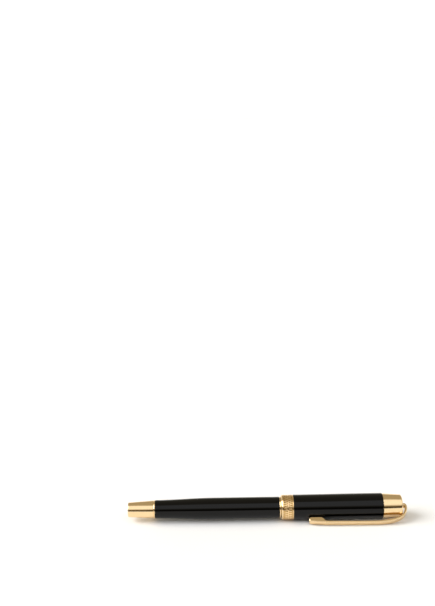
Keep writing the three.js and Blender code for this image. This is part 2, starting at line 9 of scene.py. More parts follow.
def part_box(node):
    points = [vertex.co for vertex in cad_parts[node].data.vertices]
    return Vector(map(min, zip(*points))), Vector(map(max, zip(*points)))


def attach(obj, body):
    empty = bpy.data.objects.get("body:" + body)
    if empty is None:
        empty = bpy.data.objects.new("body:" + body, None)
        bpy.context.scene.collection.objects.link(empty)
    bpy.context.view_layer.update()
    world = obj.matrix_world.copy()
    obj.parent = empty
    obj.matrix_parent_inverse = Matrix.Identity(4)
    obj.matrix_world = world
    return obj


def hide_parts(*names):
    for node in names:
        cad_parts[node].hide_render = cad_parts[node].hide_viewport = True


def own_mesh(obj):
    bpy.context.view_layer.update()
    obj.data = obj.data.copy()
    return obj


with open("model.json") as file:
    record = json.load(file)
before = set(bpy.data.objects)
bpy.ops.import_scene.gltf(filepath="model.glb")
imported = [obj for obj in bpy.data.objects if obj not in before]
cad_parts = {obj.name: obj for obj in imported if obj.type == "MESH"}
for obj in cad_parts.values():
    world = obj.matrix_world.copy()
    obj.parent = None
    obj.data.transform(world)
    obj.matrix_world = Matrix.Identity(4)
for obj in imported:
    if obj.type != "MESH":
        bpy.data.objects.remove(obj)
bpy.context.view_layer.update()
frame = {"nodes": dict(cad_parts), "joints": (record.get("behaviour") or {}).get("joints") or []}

bl_info = {
    "name": "Rollerball Pen",
    "version": (1, 0, 0),
    "blender": (4, 5, 0),
    "location": "3D View > Sidebar > Pen",
    "description": "Builds the looks of a capped rollerball pen round its packed model",
    "category": "Add Mesh",
}

MM = 0.001
HALF_TURN = math.pi
FINISHED = "_finished"   # what a finished piece adds to the name of the CAD node that it stands for

# ---------------------------------------------------------------- places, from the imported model

# The pen lies along X. Its parts are described by stations along X and by radii, in millimetres.

barrel_low, barrel_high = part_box("barrel_tube")
AXIS_Y = (barrel_low.y + barrel_high.y) / 2
AXIS_Z = (barrel_low.z + barrel_high.z) / 2


def start_of(node):
    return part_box(node)[0].x / MM


def end_of(node):
    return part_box(node)[1].x / MM


def radius_of(node):
    low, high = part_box(node)
    return (high.z - low.z) / 2 / MM


def clip_lean():
    """How far the clip leans down from level, from the axis of the joint that it flexes on."""
    axis = next(j["axis"] for j in frame["joints"] if j["name"] == "clip_flex")
    return math.atan2(-axis[1], axis[2])


def clip_reach():
    """The distance of the clip's outer face from the pen's axis."""
    outward = Vector((0, -math.cos(clip_lean()), -math.sin(clip_lean())))
    centre = Vector((0, AXIS_Y, AXIS_Z))
    return max((v.co - centre).dot(outward) for v in frame["nodes"]["clip"].data.vertices) / MM


# ---------------------------------------------------------------- settings


def linear(colour):
    """A linear colour from an sRGB hex value such as 0xF9D59C."""
    channels = [(colour >> shift & 255) / 255 for shift in (16, 8, 0)]
    return tuple(c / 12.92 if c <= 0.04045 else ((c + 0.055) / 1.055) ** 2.4 for c in channels) + (1,)


def length_setting(label, about, size):
    """A setting for a length, given in millimetres."""
    return FloatProperty(name=label, description=about, default=size * MM, unit="LENGTH")


def angle_setting(label, about, degrees):
    return FloatProperty(name=label, description=about, default=math.radians(degrees), subtype="ANGLE")


def colour_setting(label, about, value):
    return FloatVectorProperty(name=label, description=about, default=linear(value)[:3], subtype="COLOR")


class PenSizes(bpy.types.PropertyGroup):
    facets: IntProperty(name="Facets", description="Facets round each turned part",
                        default=128, min=24, max=256)
    edge: length_setting("Edge", "Rounding of the turned parts' edges", 0.07)
    leaves: IntProperty(name="Leaves", description="Pairs of leaves round the centre band",
                        default=32, min=8, max=60)
    relief: length_setting("Relief", "Depth of the centre band's engraving", 0.05)
    clip_width: length_setting("Clip width", "Width of the clip's strap", 3.0)
    clip_thickness: length_setting("Clip thickness", "Thickness of the clip's strap", 1.2)
    clip_edge: length_setting("Clip edge", "Rounding of the clip's long edges", 0.45)


class PenColours(bpy.types.PropertyGroup):
    gold: colour_setting("Gold", "Pale gold plating", 0xF7DAAB)
    lacquer: colour_setting("Lacquer", "Black lacquer", 0x030303)
    refill: colour_setting("Refill", "The refill's plastic", 0x1E2C4E)


class StageSettings(bpy.types.PropertyGroup):
    camera_side: length_setting("Camera side", "Camera's place along the pen, from its middle", -23.03)
    camera_reach: length_setting("Camera reach", "Camera's distance in front of the pen's axis", 404.0)
    camera_rise: length_setting("Camera rise", "Camera's height above the pen's axis", 216.76)
    camera_pitch: angle_setting("Camera pitch", "How far the camera looks down", 15.368)
    camera_roll: angle_setting("Camera roll", "The camera's tilt about its own line of sight", -0.95)
    lens: FloatProperty(name="Lens", description="Focal length for a 36 mm sensor, in mm", default=53.47)
    key: FloatProperty(name="Key light", description="Strength of the light on the left", default=3.0)
    key_rise: angle_setting("Key rise", "Height of the light on the left", 32)
    key_spread: angle_setting("Key spread", "How wide that light looks from the pen", 45)
    key_front: angle_setting("Key front", "How far that light stands to the front", 5)


# ---------------------------------------------------------------- modelling tools


def clear_selection():
    if bpy.context.object and bpy.context.object.mode != "OBJECT":
        bpy.ops.object.mode_set(mode="OBJECT")
    bpy.ops.object.select_all(action="DESELECT")


def only(piece):
    """Selects this object alone and makes it the active one."""
    clear_selection()
    piece.select_set(True)
    bpy.context.view_layer.objects.active = piece


def on_axis(station, radius=0.0):
    """A point above the pen's axis, in metres, from a station and a radius in millimetres."""
    return (station * MM, AXIS_Y, AXIS_Z + radius * MM)


def apply_modifier(piece, kind, **settings):
    only(piece)
    made = piece.modifiers.new(kind.title(), kind)
    for name, value in settings.items():
        setattr(made, name, value)
    bpy.ops.object.modifier_apply(modifier=made.name)


def close_up(piece):
    """Fills open ends, merges doubled points and turns every face outwards."""
    only(piece)
    bpy.ops.object.mode_set(mode="EDIT")
    bpy.ops.mesh.select_all(action="SELECT")
    bpy.ops.mesh.remove_doubles(threshold=1e-7)
    bpy.ops.mesh.fill_holes(sides=0)
    bpy.ops.mesh.select_all(action="SELECT")
    bpy.ops.mesh.normals_make_consistent(inside=False)
    bpy.ops.object.mode_set(mode="OBJECT")


def settle(piece, angle=35):
    """Puts the piece's place into its mesh and smooths it, apart from its sharp edges."""
    only(piece)
    bpy.ops.object.transform_apply(location=True, rotation=True, scale=True)
    bpy.ops.object.shade_smooth_by_angle(angle=math.radians(angle))


def soften(piece, width, angle=28, segments=3):
    """Rounds the edges that turn by more than an angle. Width is in metres."""
    apply_modifier(piece, "BEVEL", width=width, segments=segments, limit_method="ANGLE",
                   angle_limit=math.radians(angle), use_clamp_overlap=True, harden_normals=True)


def lathe(name, outline, facets=None, edge=None):
    """A turned part: a circle on the pen's axis, extruded and scaled from point to point of an outline.
    An outline of (station, radius) points closes on itself, or starts and ends on the axis."""
    sizes = bpy.context.scene.pen_sizes
    solid = outline[0][1] == 0
    points = outline[1:-1] if solid else outline
    station, radius = points[0]
    clear_selection()
    bpy.ops.mesh.primitive_circle_add(vertices=facets or sizes.facets, radius=radius * MM,
                                      location=on_axis(station), rotation=(0, HALF_TURN / 2, 0))
    piece = bpy.context.object
    piece.name = piece.data.name = name + FINISHED
    bpy.ops.object.mode_set(mode="EDIT")
    bpy.ops.mesh.select_mode(type="EDGE")
    bpy.ops.mesh.select_all(action="SELECT")
    for next_station, next_radius in points[1:] + ([] if solid else points[:1]):
        step = ((next_station - station) * MM, 0, 0)
        bpy.ops.mesh.extrude_edges_move(TRANSFORM_OT_translate={"value": step})
        ratio = next_radius / radius
        bpy.ops.transform.resize(value=(1, ratio, ratio), center_override=on_axis(next_station))
        station, radius = next_station, next_radius
    close_up(piece)
    settle(piece)
    if edge != 0:
        soften(piece, edge * MM if edge else sizes.edge)
    return piece


def coil(name, start, radius, pitch, turns, wire):
    """A round wire wound about the pen's axis, with its ends closed."""
    clear_selection()
    bpy.ops.mesh.primitive_circle_add(vertices=10, radius=wire * MM, location=on_axis(start, radius),
                                      rotation=(HALF_TURN / 2, 0, 0))
    piece = bpy.context.object
    piece.name = piece.data.name = name + FINISHED
    bpy.context.scene.cursor.location = on_axis(start)
    bpy.ops.object.origin_set(type="ORIGIN_CURSOR")
    bpy.ops.object.transform_apply(location=False, rotation=True, scale=False)
    steps = round(turns * 40)
    apply_modifier(piece, "SCREW", axis="X", angle=2 * HALF_TURN * turns, screw_offset=pitch * turns * MM,
                   steps=steps, render_steps=steps)
    close_up(piece)
    settle(piece)
    return piece


def combine(piece, tool, operation):
    """Adds a tool's shape to a piece or cuts it out, and takes the tool away."""
    apply_modifier(piece, "BOOLEAN", object=tool, operation=operation, solver="EXACT")
    bpy.data.objects.remove(tool)
    return piece


def block(station, size, turn=0.0):
    """A box on the pen's axis, to cut with."""
    clear_selection()
    bpy.ops.mesh.primitive_cube_add(size=1, location=on_axis(station), rotation=(turn, 0, 0),
                                    scale=[s * MM for s in size])
    return bpy.context.object


def blend(start, end, low, high, steps):
    """Points of a smooth rise from one radius to another."""
    shares = [i / steps for i in range(steps + 1)]
    return [(start + (end - start) * t, low + (high - low) * t * t * (3 - 2 * t)) for t in shares]


def arc(station, radius, size, start, end, steps, stretch=1.0):
    """Points of an arc, with angles in degrees from +X towards larger radii, stretched along the axis."""
    angles = [math.radians(start + (end - start) * i / steps) for i in range(steps + 1)]
    return [(station + size * stretch * math.cos(a), radius + size * math.sin(a)) for a in angles]


def bezier(points, steps):
    """Points on a curve drawn by two to four handles."""
    def place(handles, t):
        if len(handles) == 1:
            return handles[0]
        return place([a.lerp(b, t) for a, b in zip(handles, handles[1:])], t)
    return [place([Vector(p) for p in points], i / steps) for i in range(steps + 1)]


def finish_piece(piece, body, slot, material=None):
    """Gives a piece its material and hands it to the body it moves with, in place of its CAD node."""
    piece.data.materials.clear()
    piece.data.materials.append(material or MATERIALS[slot]())
    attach(piece, body)
    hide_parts(piece.name.removesuffix(FINISHED))


# ---------------------------------------------------------------- materials


def add_node(material, kind, settings=None, **inputs):
    """Adds a node with its settings and its inputs, which are values or other nodes' outputs.
    An input is named, with _ for a space, or is input_ and its number where names repeat."""
    made = material.node_tree.nodes.new(kind)
    for name, value in (settings or {}).items():
        setattr(made, name, value)
    for name, value in inputs.items():
        number = name.removeprefix("input_")
        socket = made.inputs[int(number) if number.isdigit() else name.replace("_", " ")]
        if isinstance(value, bpy.types.NodeSocket):
            material.node_tree.links.new(value, socket)
        else:
            socket.default_value = value
    return made


def mix(material, factor, low, high):
    """A colour between two colours."""
    made = add_node(material, "ShaderNodeMix", {"data_type": "RGBA"},
                    Factor=factor, input_6=low, input_7=high)
    return made.outputs[2]


def grain(material, size, stretch=(1, 1, 1), detail=2.0):
    """Noise with features of about a size in millimetres, stretched along an axis by a value below 1."""
    place = add_node(material, "ShaderNodeTexCoord").outputs["Object"]
    centred = add_node(material, "ShaderNodeMapping", Vector=place, Location=(0, -AXIS_Y, -AXIS_Z))
    scaled = add_node(material, "ShaderNodeMapping", Vector=centred.outputs[0], Scale=stretch)
    noise = add_node(material, "ShaderNodeTexNoise", Vector=scaled.outputs[0], Scale=1 / (size * MM),
                     Detail=detail)
    return noise.outputs[0]


def tool_rings(material, pitch):
    """Fine rings round the pen's axis, as a lathe tool or a buffing wheel leaves them."""
    return grain(material, pitch, stretch=(1, 0.012, 0.012))


def spread(material, value, low, high):
    """Stretches a noise over a range of roughness."""
    made = add_node(material, "ShaderNodeMapRange", Value=value, From_Min=0.3, From_Max=0.7,
                    To_Min=low, To_Max=high)
    return made.outputs[0]


def bump(material, height, depth, strength=1.0):
    """A bump of a depth in millimetres."""
    made = add_node(material, "ShaderNodeBump", Height=height, Strength=strength, Distance=depth * MM)
    return made.outputs[0]


def finish_material(material, **inputs):
    shader = add_node(material, "ShaderNodeBsdfPrincipled", **inputs)
    add_node(material, "ShaderNodeOutputMaterial", Surface=shader.outputs[0])
    return material


def new_material(name):
    material = bpy.data.materials.new(name)
    material.use_nodes = True
    material.node_tree.nodes.clear()
    return material


def shade(colour, share):
    """A colour made darker or lighter by a share."""
    return tuple(min(1, c * share) for c in colour[:3]) + (1,)


def gold_plating():
    """Brass, turned, buffed and plated with pale gold: a warm mirror, softened a little by buffing lines
    that run round the part, with a faint cloudiness in the plating's tone."""
    material = new_material("gold_plating")
    gold = bpy.context.scene.pen_colours.gold
    lines = tool_rings(material, 0.12)
    tone = mix(material, grain(material, 2.5), shade(gold, 0.95), shade(gold, 1.03))
    return finish_material(material, Base_Color=tone, Metallic=1.0,
                           Roughness=spread(material, lines, 0.07, 0.16),
                           Normal=bump(material, lines, 0.0012, 0.35))


def polished_gold():
    """The clip's spring brass, polished along the strap and plated with pale gold: nearly a clean mirror,
    with a faint ripple left by the polishing wheel."""
    material = new_material("polished_gold")
    gold = bpy.context.scene.pen_colours.gold
    ripple = grain(material, 3.0, detail=1.0)
    tone = mix(material, ripple, shade(gold, 0.98), shade(gold, 1.02))
    return finish_material(material, Base_Color=tone, Metallic=1.0,
                           Roughness=spread(material, ripple, 0.03, 0.06),
                           Normal=bump(material, ripple, 0.0008, 0.15))


def engraved_gold():
    """Pale gold plating over roll-engraved brass: the leaves are polished by handling, and the ground
    between them is stippled, duller and darker where tarnish stays in the cuts."""
    material = new_material("engraved_gold")
    gold = bpy.context.scene.pen_colours.gold
    cut = add_node(material, "ShaderNodeAttribute", {"attribute_name": CUT}).outputs["Fac"]
    tarnish = mix(material, cut, shade(gold, 1.02), shade(linear(0xC9963F), 0.8))
    specks = grain(material, 0.12)
    rough = add_node(material, "ShaderNodeMapRange", Value=cut, To_Min=0.09, To_Max=0.26)
    return finish_material(material, Base_Color=tarnish, Metallic=1.0, Roughness=rough.outputs[0],
                           Normal=bump(material, specks, 0.003, 0.3))


def black_lacquer():
    """Brass tube sprayed with black lacquer and polished: deep black under a wet gloss, with the slight
    ripple that a sprayed coat keeps and a haze of the finest scratches from wiping."""
    material = new_material("black_lacquer")
    lacquer = bpy.context.scene.pen_colours.lacquer
    haze = grain(material, 5.0, detail=5.0)
    tone = mix(material, haze, shade(lacquer, 0.8), shade(lacquer, 1.25))
    return finish_material(material, Base_Color=tone, Roughness=spread(material, haze, 0.02, 0.05),
                           IOR=1.32, Normal=bump(material, grain(material, 1.8, detail=1.0), 0.002, 0.5))


def black_resin():
    """Moulded and polished black resin: a softer gloss than lacquer, with faint flow marks along it."""
    material = new_material("black_resin")
    flow = grain(material, 1.5, stretch=(0.25, 1, 1))
    tone = mix(material, flow, linear(0x0B0B0B), linear(0x131313))
    return finish_material(material, Base_Color=tone, Roughness=spread(material, flow, 0.16, 0.24),
                           IOR=1.5, Normal=bump(material, flow, 0.003, 0.4))


def turned_brass():
    """Bare turned brass: yellow, satin, with the rings that the tool leaves and a little oxide."""
    material = new_material("turned_brass")
    rings = tool_rings(material, 0.1)
    tone = mix(material, grain(material, 1.2), linear(0xC9A352), linear(0xE3C06C))
    return finish_material(material, Base_Color=tone, Metallic=1.0,
                           Roughness=spread(material, rings, 0.22, 0.4),
                           Normal=bump(material, rings, 0.004, 0.6))


def drawn_steel():
    """Drawn and tempered spring steel: grey, with draw lines and a satin lustre."""
    material = new_material("drawn_steel")
    lines = tool_rings(material, 0.08)
    tone = mix(material, grain(material, 0.8), linear(0xB4B6B9), linear(0xD2D3D4))
    return finish_material(material, Base_Color=tone, Metallic=1.0,
                           Roughness=spread(material, lines, 0.2, 0.34),
                           Normal=bump(material, lines, 0.002, 0.5))


def nickel_silver():
    """Turned nickel silver of the writing point: a bright, slightly warm white metal with tool rings."""
    material = new_material("nickel_silver")
    rings = tool_rings(material, 0.06)
    tone = mix(material, rings, linear(0xC9C4B6), linear(0xDDD9CE))
    return finish_material(material, Base_Color=tone, Metallic=1.0,
                           Roughness=spread(material, rings, 0.14, 0.26),
                           Normal=bump(material, rings, 0.002, 0.5))


def tungsten_carbide():
    """Lapped tungsten carbide: dark grey and mirror-like, with the finest pits between its grains."""
    material = new_material("tungsten_carbide")
    pits = grain(material, 0.03)
    tone = mix(material, pits, linear(0x7D7F84), linear(0x9A9CA0))
    return finish_material(material, Base_Color=tone, Metallic=1.0,
                           Roughness=spread(material, pits, 0.08, 0.16),
                           Normal=bump(material, pits, 0.0005, 0.5))


def refill_plastic():
    """Injection-moulded polypropylene, dyed ink blue: waxy, with a satin skin and flow marks."""
    material = new_material("refill_plastic")
    blue = bpy.context.scene.pen_colours.refill
    flow = grain(material, 1.2, stretch=(0.2, 1, 1))
    tone = mix(material, flow, shade(blue, 0.85), shade(blue, 1.15))
    return finish_material(material, Base_Color=tone, Roughness=spread(material, flow, 0.34, 0.46),
                           IOR=1.49, Normal=bump(material, grain(material, 0.15), 0.004, 0.4))


def liner_plastic():
    """Moulded grey-black nylon of the parts that nobody sees: matt, with a finely sparked texture."""
    material = new_material("liner_plastic")
    sparks = grain(material, 0.1)
    tone = mix(material, sparks, linear(0x1D1D1F), linear(0x2A2A2C))
    return finish_material(material, Base_Color=tone, Roughness=spread(material, sparks, 0.46, 0.6),
                           IOR=1.53, Normal=bump(material, sparks, 0.006, 0.5))


def seal_rubber():
    """Moulded nitrile rubber: dull black, with a dusty bloom."""
    material = new_material("seal_rubber")
    bloom = grain(material, 0.4, detail=4.0)
    tone = mix(material, bloom, linear(0x141414), linear(0x232324))
    return finish_material(material, Base_Color=tone, Roughness=spread(material, bloom, 0.6, 0.8),
                           IOR=1.52, Normal=bump(material, bloom, 0.004, 0.5))


def ink_fibre():
    """A bonded bundle of polyester fibres, soaked in blue ink: matt, with fibres running along it."""
    material = new_material("ink_fibre")
    fibres = grain(material, 0.08, stretch=(0.03, 1, 1))
    tone = mix(material, fibres, linear(0x16235A), linear(0x2E3F86))
    return finish_material(material, Base_Color=tone, Roughness=spread(material, fibres, 0.75, 0.95),
                           IOR=1.45, Normal=bump(material, fibres, 0.02, 0.7))


CUT = "cut"              # the attribute that says how deep the band is engraved
MATERIALS = {            # the maker's finish for each slot of the record
    "gold_plating": gold_plating, "black_lacquer": black_lacquer, "black_resin": black_resin,
    "brass": turned_brass, "spring_steel": drawn_steel, "nickel_silver": nickel_silver,
    "carbide": tungsten_carbide, "refill_plastic": refill_plastic, "liner_plastic": liner_plastic,
    "seal_rubber": seal_rubber, "ink_fibre": ink_fibre,
}


# ---------------------------------------------------------------- pieces

SEAT = 0.05              # pressed fits, in millimetres
SLIP = 0.15              # sliding fits
FACE_GAP = 0.1           # between faces that meet

refill_radius = radius_of("refill_tube")
refill_bore = refill_radius - 0.35
neck_radius = 2.05


class PEN_OT_tail_ferrule(bpy.types.Operator):
    """Tapered gold ferrule that closes the barrel: a rounded flat end with a turned ring in it, a bead at
    its mouth behind a narrow groove, and a spigot that is pressed into the barrel."""
    bl_idname = "pen.tail_ferrule"
    bl_label = "Tail ferrule"

    def execute(self, context):
        end, mouth = start_of("tail_ferrule"), start_of("barrel_tube") - FACE_GAP
        spigot_end = end_of("tail_ferrule")
        spigot, bore = refill_radius + 0.7, refill_radius + 0.2
        pocket = 2.85
        base, tip = 4.4, 3.6
        bead = mouth - 0.62
        piece = lathe("tail_ferrule", [
            (end, 0), (end, 2.15), (end + 0.14, 2.25), (end + 0.14, 2.5), (end, 2.6),
            *arc(end + 0.3, tip - 0.3, 0.3, 180, 95, 5),
            (bead - 0.26, base - 0.04), (bead - 0.2, base - 0.16), (bead - 0.03, base - 0.16),
            *arc(bead + 0.3, base - 0.16, 0.24, 165, 15, 8, stretch=1.25),
            (mouth, base - 0.16), (mouth, spigot), (spigot_end, spigot), (spigot_end, bore),
            (end + 6.8, bore), (end + 6.8, pocket), (end + 1.2, pocket), (end + 1.2, 0),
        ], edge=0.03)
        finish_piece(piece, "barrel", "gold_plating")
        return {"FINISHED"}


class PEN_OT_barrel_tube(bpy.types.Operator):
    """Barrel tube, lacquered black: it swells from the ferrule in a long smooth taper, then runs almost
    straight to its mouth."""
    bl_idname = "pen.barrel_tube"
    bl_label = "Barrel tube"

    def execute(self, context):
        start, mouth = start_of("barrel_tube"), end_of("barrel_tube")
        belly = radius_of("barrel_tube")
        tail, tail_bore = 4.49, refill_radius + 0.75
        bore = radius_of("barrel_bush") + SEAT
        taper = start + 28
        piece = lathe("barrel_tube", [
            *blend(start, taper, tail, belly, 16), *blend(mouth - 12, mouth, belly, belly - SEAT, 5),
            (mouth, bore), *blend(start, taper, tail_bore, bore, 6)[::-1],
        ])
        finish_piece(piece, "barrel", "black_lacquer")
        return {"FINISHED"}


class PEN_OT_barrel_bush(bpy.types.Operator):
    """Brass bush in the barrel's mouth, with a round thread cut in its bore."""
    bl_idname = "pen.barrel_bush"
    bl_label = "Barrel bush"

    def execute(self, context):
        start, end, radius = start_of("barrel_bush"), end_of("barrel_bush"), radius_of("barrel_bush")
        bore, relief = 3.85, 4.15
        body = lathe("barrel_bush", [
            (start, bore), (start, radius), (end, radius), (end, relief),
            (start + 5, relief), (start + 5, bore),
        ], facets=96, edge=0.04)
        groove = coil("groove", start, 3.75, 1.0, 6.5, 0.4)
        finish_piece(combine(body, groove, "DIFFERENCE"), "barrel", "brass")
        return {"FINISHED"}


class PEN_OT_refill_spring(bpy.types.Operator):
    """Spring that keeps the refill forward, and the moulded seat that holds it in the ferrule."""
    bl_idname = "pen.refill_spring"
    bl_label = "Refill spring and seat"

    def execute(self, context):
        start, end = start_of("refill_spring"), end_of("refill_spring")
        wire, turns = 0.2, 4
        radius = radius_of("refill_spring") - wire
        first = start + wire
        spring = coil("refill_spring", first, radius, (end - start - 2 * wire) / turns, turns, wire)
        finish_piece(spring, "barrel", "spring_steel")
        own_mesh(spring)
        shelf_start, shelf_end = start_of("spring_seat"), end_of("spring_seat")
        rim = radius_of("spring_seat")
        middle = (shelf_start + shelf_end) / 2
        seat = lathe("spring_seat", [
            (shelf_start, 0), (shelf_start, rim), (middle, rim), (middle, rim - 0.95),
            (shelf_end, rim - 1.1), (shelf_end, 0),
        ], facets=64)
        finish_piece(seat, "barrel", "liner_plastic")
        return {"FINISHED"}


class PEN_OT_trim_ring(bpy.types.Operator):
    """Thin gold ring between the barrel and the section, with a half-round edge."""
    bl_idname = "pen.trim_ring"
    bl_label = "Trim ring"

    def execute(self, context):
        start, end, radius = start_of("trim_ring"), end_of("trim_ring"), radius_of("trim_ring")
        half, bead = (end - start) / 2, 0.14
        piece = lathe("trim_ring", [
            (start, 3.85), (start, radius - bead),
            *arc(start + half, radius - bead, bead, 165, 15, 8, half / bead),
            (end, radius - bead), (end, 3.85),
        ], edge=0)
        finish_piece(piece, "trim_ring", "gold_plating")
        return {"FINISHED"}


class PEN_OT_grip_section(bpy.types.Operator):
    """Black resin grip: straight under the cap, with a groove for the clutch ring, then waisted towards a
    small lip in front of the nose."""
    bl_idname = "pen.grip_section"
    bl_label = "Grip section"

    def execute(self, context):
        start, end, radius = start_of("grip_section"), end_of("grip_section"), radius_of("grip_section")
        ring_start, ring_end = start_of("clutch_ring") - FACE_GAP, end_of("clutch_ring") + FACE_GAP
        groove, front = radius - 0.4, radius - 0.65
        seat, spigot = end_of("section_nipple") + FACE_GAP, start_of("nose_cone") - FACE_GAP
        step = end_of("refill_tube") + 1 + FACE_GAP
        wide, narrow = refill_radius + SLIP, neck_radius + SLIP
        piece = lathe("grip_section", [
            (start, 3.8), (start, radius), (ring_start, radius), (ring_start, groove),
            (ring_end, groove), (ring_end, radius), *blend(ring_end + 4.8, end - 2.5, radius, front, 12),
            *blend(end - 2.3, end - 1.2, front, front + 0.22, 5)[1:],
            *arc(end - 0.6, front + 0.02, 0.2, 90, 0, 4, 2.5), (end, front - 0.1),
            (end, wide), (spigot, wide), (spigot, narrow), (step, narrow), (step, wide), (seat, wide),
            (seat, 3.8),
        ])
        finish_piece(piece, "section", "black_resin")
        return {"FINISHED"}


class PEN_OT_section_nipple(bpy.types.Operator):
    """Brass nipple that joins the section to the barrel, with a ridge of round thread and a groove for
    the seal, and the rubber ring in that groove."""
    bl_idname = "pen.section_nipple"
    bl_label = "Section nipple and seal"

    def execute(self, context):
        start, end = start_of("section_nipple"), end_of("section_nipple")
        seal = (start_of("section_seal") + end_of("section_seal")) / 2
        outer, bore, groove = 3.75, refill_radius + SLIP, 3.45
        body = lathe("section_nipple", [
            (start, bore), (start, outer), (seal - 0.3, outer), (seal - 0.3, groove),
            (seal + 0.3, groove), (seal + 0.3, outer), (end, outer), (end, bore),
        ], facets=96, edge=0.04)
        ridge = coil("ridge", start + 1.4, outer, 1.0, 3.5, 0.25)
        finish_piece(combine(body, ridge, "UNION"), "section", "brass")
        ring = lathe("section_seal", arc(seal, outer, 0.25, 0, 337.5, 15), facets=96, edge=0)
        finish_piece(ring, "section", "seal_rubber")
        return {"FINISHED"}


class PEN_OT_clutch_ring(bpy.types.Operator):
    """Split spring ring that the cap snaps over: a flat strip spun most of the way round."""
    bl_idname = "pen.clutch_ring"
    bl_label = "Clutch ring"

    def execute(self, context):
        start, end, outer = start_of("clutch_ring"), end_of("clutch_ring"), radius_of("clutch_ring")
        inner, gap = outer - 0.4, math.radians(28)
        clear_selection()
        bpy.ops.mesh.primitive_plane_add(size=1, location=on_axis((start + end) / 2, (outer + inner) / 2),
                                         rotation=(HALF_TURN / 2, 0, 0),
                                         scale=((end - start) * MM, (outer - inner) * MM, 1))
        piece = bpy.context.object
        piece.name = piece.data.name = "clutch_ring" + FINISHED
        piece.scale = ((end - start) * MM, (outer - inner) * MM, 1)
        bpy.ops.object.transform_apply(location=True, rotation=True, scale=True)
        bpy.ops.object.mode_set(mode="EDIT")
        bpy.ops.mesh.select_all(action="SELECT")
        bpy.ops.mesh.spin(steps=72, angle=2 * HALF_TURN - gap, center=on_axis(start), axis=(1, 0, 0))
        close_up(piece)
        settle(piece)
        soften(piece, 0.05 * MM, angle=60)
        finish_piece(piece, "clutch_ring", "spring_steel")
        return {"FINISHED"}


class PEN_OT_nose_cone(bpy.types.Operator):
    """Gold nose: a collar, then an ogive down to the hole for the writing point, with a rounded lip."""
    bl_idname = "pen.nose_cone"
    bl_label = "Nose cone"

    def execute(self, context):
        spigot_start, end = start_of("nose_cone"), end_of("nose_cone")
        start, collar, tip = end_of("grip_section") + FACE_GAP, radius_of("nose_cone"), 1.95
        spigot, bore, hole = refill_radius + 0.1, neck_radius + SLIP, 1.3
        shelf = end - 1.15
        piece = lathe("nose_cone", [
            (spigot_start, bore), (spigot_start, spigot), (start, spigot), (start, collar),
            (start + 0.8, collar), (start + 0.85, collar - 0.14), (start + 1.0, collar - 0.14),
            *blend(start + 1.05, end - 0.3, collar - 0.05, tip, 14),
            *arc(end - 0.3, tip - 0.3, 0.3, 75, 0, 4),
            (end, hole), (shelf, hole), (shelf, bore),
        ], edge=0.04)
        finish_piece(piece, "section", "gold_plating")
        return {"FINISHED"}


class PEN_OT_refill_body(bpy.types.Operator):
    """The refill's rear plug, tube, ink store and front holder."""
    bl_idname = "pen.refill_body"
    bl_label = "Refill body"

    def execute(self, context):
        rear, rim = start_of("refill_plug"), start_of("refill_tube") - FACE_GAP
        plug_end, spigot = end_of("refill_plug"), refill_bore - SEAT
        plug = lathe("refill_plug", [
            (rear, 0), (rear, 1.2), (rear + 0.3, 1.35), (rear + 0.3, 1.6), (rear, 1.75),
            (rear, refill_radius),
            (rim, refill_radius), (rim, spigot), (plug_end, spigot), (plug_end, 0),
        ], facets=64)
        tube_start, tube_end = start_of("refill_tube"), end_of("refill_tube")
        tube = lathe("refill_tube", [
            (tube_start, refill_bore), (tube_start, refill_radius), (tube_end, refill_radius),
            (tube_end, refill_bore),
        ], facets=64)
        wick_start, wick_end = start_of("refill_wick"), end_of("refill_wick")
        wick_radius = refill_bore - SLIP
        wick = lathe("refill_wick", [
            (wick_start, 0), (wick_start, wick_radius), (wick_end, wick_radius), (wick_end, 0),
        ], facets=64, edge=0.2)
        start, end = start_of("refill_holder"), end_of("refill_holder")
        shoulder = tube_end + 1
        fins = [(shoulder + 2 + 0.7 * i + offset, neck_radius - depth) for i in range(6)
                for offset, depth in ((0, 0), (0.05, 0.2), (0.3, 0.2), (0.35, 0))]
        holder = lathe("refill_holder", [
            (start, 0), (start, spigot), (tube_end + FACE_GAP, spigot), (tube_end + FACE_GAP, refill_radius),
            (shoulder, refill_radius), (shoulder, neck_radius), *fins, (end - 0.4, neck_radius),
            (end, neck_radius - 0.4), (end, 0.9), (end - 4.15, 0.9), (end - 4.15, 0),
        ], facets=64, edge=0.03)
        for piece, slot in ((plug, "refill_plastic"), (tube, "refill_plastic"), (wick, "ink_fibre"),
                            (holder, "refill_plastic")):
            finish_piece(piece, "refill", slot)
        return {"FINISHED"}


class PEN_OT_writing_point(bpy.types.Operator):
    """Turned metal point with its ball held in a rim."""
    bl_idname = "pen.writing_point"
    bl_label = "Writing point"

    def execute(self, context):
        shank_start, radius = start_of("refill_tip"), radius_of("refill_tip")
        start = end_of("refill_holder") + FACE_GAP
        ball_end, ball = end_of("writing_ball"), radius_of("writing_ball")
        centre = ball_end - ball
        socket = ball + 0.02
        point = lathe("refill_tip", [
            (shank_start, 0), (shank_start, radius - 0.3), (start, radius - 0.3), (start, radius),
            (start + 2.4, radius), (start + 2.5, radius - 0.1), (start + 2.9, radius - 0.22),
            (centre - 0.5, 0.56), (centre - 0.15, 0.5), *arc(centre, 0, socket + 0.07, 60, 70, 2)[::-1],
            *arc(centre, 0, socket, 66, 150, 8), (centre - socket, 0.02), (centre - socket, 0),
        ], facets=64, edge=0.01)
        finish_piece(point, "refill", "nickel_silver")
        sphere = lathe("writing_ball", [
            (centre - ball, 0), *arc(centre, 0, ball, 177, 3, 24), (centre + ball, 0),
        ], facets=32, edge=0)
        finish_piece(sphere, "writing_ball", "carbide")
        return {"FINISHED"}


